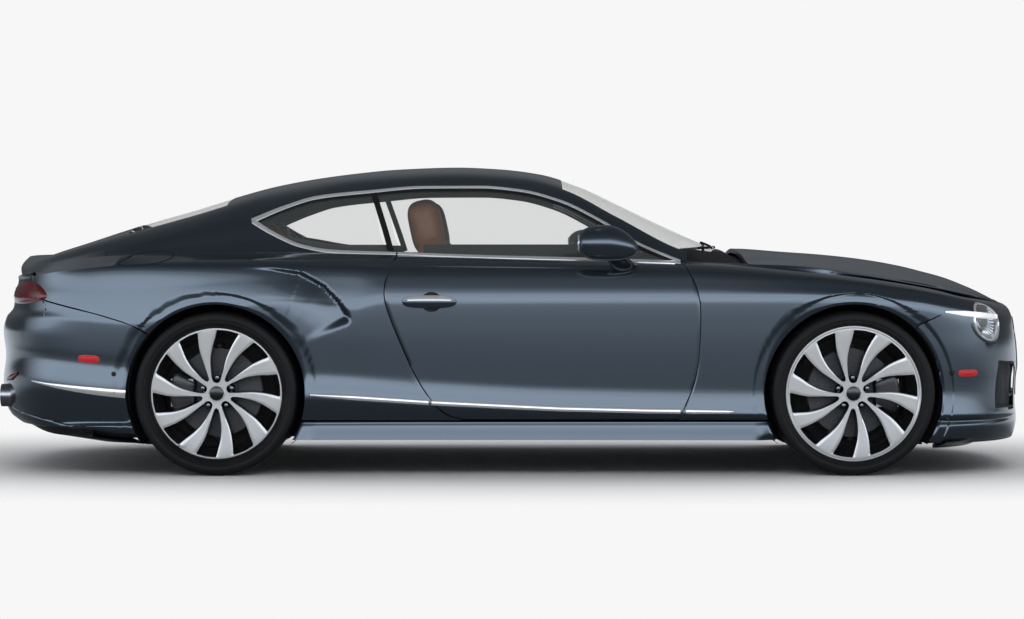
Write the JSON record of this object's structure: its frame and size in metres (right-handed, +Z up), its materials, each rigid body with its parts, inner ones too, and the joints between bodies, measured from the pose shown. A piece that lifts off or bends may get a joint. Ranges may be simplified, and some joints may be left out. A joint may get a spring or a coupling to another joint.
{
  "type": "two-door grand tourer coupe",
  "caption": "Two-door fastback coupe with long hood, round lamps, wide haunches and multi-spoke wheels; doors, hood and trunk lid open, wheels roll and steer.",
  "frame": {"origin": "on the ground, at the centre of the bounding box", "axes": "+X forward, +Y to the car's left, +Z up"},
  "size_m": [4.857, 2.18, 1.4079],
  "materials": {
    "paint": "metallic gloss",
    "glass": "clear",
    "chrome": "polished",
    "dark_chrome": "polished",
    "black_plastic": "satin",
    "gloss_black": "gloss",
    "underbody": "matte",
    "alloy": "machined",
    "tyre": "matte",
    "cast_iron": "matte",
    "steel": "satin",
    "engine": "matte",
    "leather": "matte",
    "interior_trim": "satin",
    "lamp_clear": "clear",
    "lamp_red": "clear"
  },
  "bodies": {
    "body": {"fender_left": "paint", "fender_right": "paint", "quarter_left": "paint", "quarter_right": "paint", "front_splitter": "black_plastic", "front_bumper": "paint", "grille": "dark_chrome", "rear_diffuser": "black_plastic", "rear_bumper": "paint", "sills": "paint", "floor_pan": "underbody", "roof_frame": "paint", "windscreen": "glass", "rear_glass": "glass", "front_bulkhead": "underbody", "headlamps": "lamp_clear", "tail_lamps": "lamp_red", "exhaust": "steel", "arch_liners": "black_plastic", "rear_knuckles": "cast_iron", "front_subframe": "underbody", "rear_subframe": "underbody", "engine_block": "engine", "front_seats": "leather", "rear_bench": "leather", "dashboard": "interior_trim"},
    "door_left": {"door_left": "paint", "door_glass_left": "glass", "mirror_left": "paint"},
    "door_right": {"door_right": "paint", "door_glass_right": "glass", "mirror_right": "paint"},
    "hood": {"hood": "paint"},
    "trunk_lid": {"trunk_lid": "paint"},
    "steering_wheel": {"steering_wheel": "interior_trim"},
    "knuckle_left": {"knuckle_left": "cast_iron"},
    "knuckle_right": {"knuckle_right": "cast_iron"},
    "wheel_front_left": {"wheel_front_left": "alloy", "tyre_front_left": "tyre"},
    "wheel_front_right": {"wheel_front_right": "alloy", "tyre_front_right": "tyre"},
    "wheel_rear_left": {"wheel_rear_left": "alloy", "tyre_rear_left": "tyre"},
    "wheel_rear_right": {"wheel_rear_right": "alloy", "tyre_rear_right": "tyre"}
  },
  "joints": [
    {"name": "door_left_hinge", "type": "hinge", "parent": "body", "child": "door_left", "pos_m": [0.73, 0.92, 0.7], "axis": [0, 0, -1], "range_deg": [0, 62]},
    {"name": "door_right_hinge", "type": "hinge", "parent": "body", "child": "door_right", "pos_m": [0.73, -0.92, 0.7], "axis": [0, 0, 1], "range_deg": [0, 62]},
    {"name": "hood_hinge", "type": "hinge", "parent": "body", "child": "hood", "pos_m": [1.088, 0, 0.922], "axis": [0, -1, 0], "range_deg": [0, 45]},
    {"name": "trunk_hinge", "type": "hinge", "parent": "body", "child": "trunk_lid", "pos_m": [-1.855, 0, 1.09], "axis": [0, 1, 0], "range_deg": [0, 60]},
    {"name": "steer_left", "type": "hinge", "parent": "body", "child": "knuckle_left", "pos_m": [1.535, 0.8075, 0.368], "axis": [0, 0, 1], "range_deg": [-32, 32]},
    {"name": "steer_right", "type": "hinge", "parent": "body", "child": "knuckle_right", "pos_m": [1.535, -0.8075, 0.368], "axis": [0, 0, 1], "range_deg": [-32, 32]},
    {"name": "steering_wheel_turn", "type": "hinge", "parent": "body", "child": "steering_wheel", "pos_m": [0.4, 0.375, 0.80356], "axis": [-0.9113, 0, 0.4118], "range_deg": [-460, 460]},
    {"name": "spin_front_left", "type": "hinge", "parent": "knuckle_left", "child": "wheel_front_left", "pos_m": [1.535, 0.8075, 0.368], "axis": [0, 1, 0], "continuous": true},
    {"name": "spin_front_right", "type": "hinge", "parent": "knuckle_right", "child": "wheel_front_right", "pos_m": [1.535, -0.8075, 0.368], "axis": [0, 1, 0], "continuous": true},
    {"name": "spin_rear_left", "type": "hinge", "parent": "body", "child": "wheel_rear_left", "pos_m": [-1.316, 0.7975, 0.368], "axis": [0, 1, 0], "continuous": true},
    {"name": "spin_rear_right", "type": "hinge", "parent": "body", "child": "wheel_rear_right", "pos_m": [-1.316, -0.7975, 0.368], "axis": [0, 1, 0], "continuous": true}
  ],
  "couplings": [
    {"joint": "steer_right", "follows": "steer_left", "ratio": 1},
    {"joint": "steering_wheel_turn", "follows": "steer_left", "ratio": 14}
  ]
}
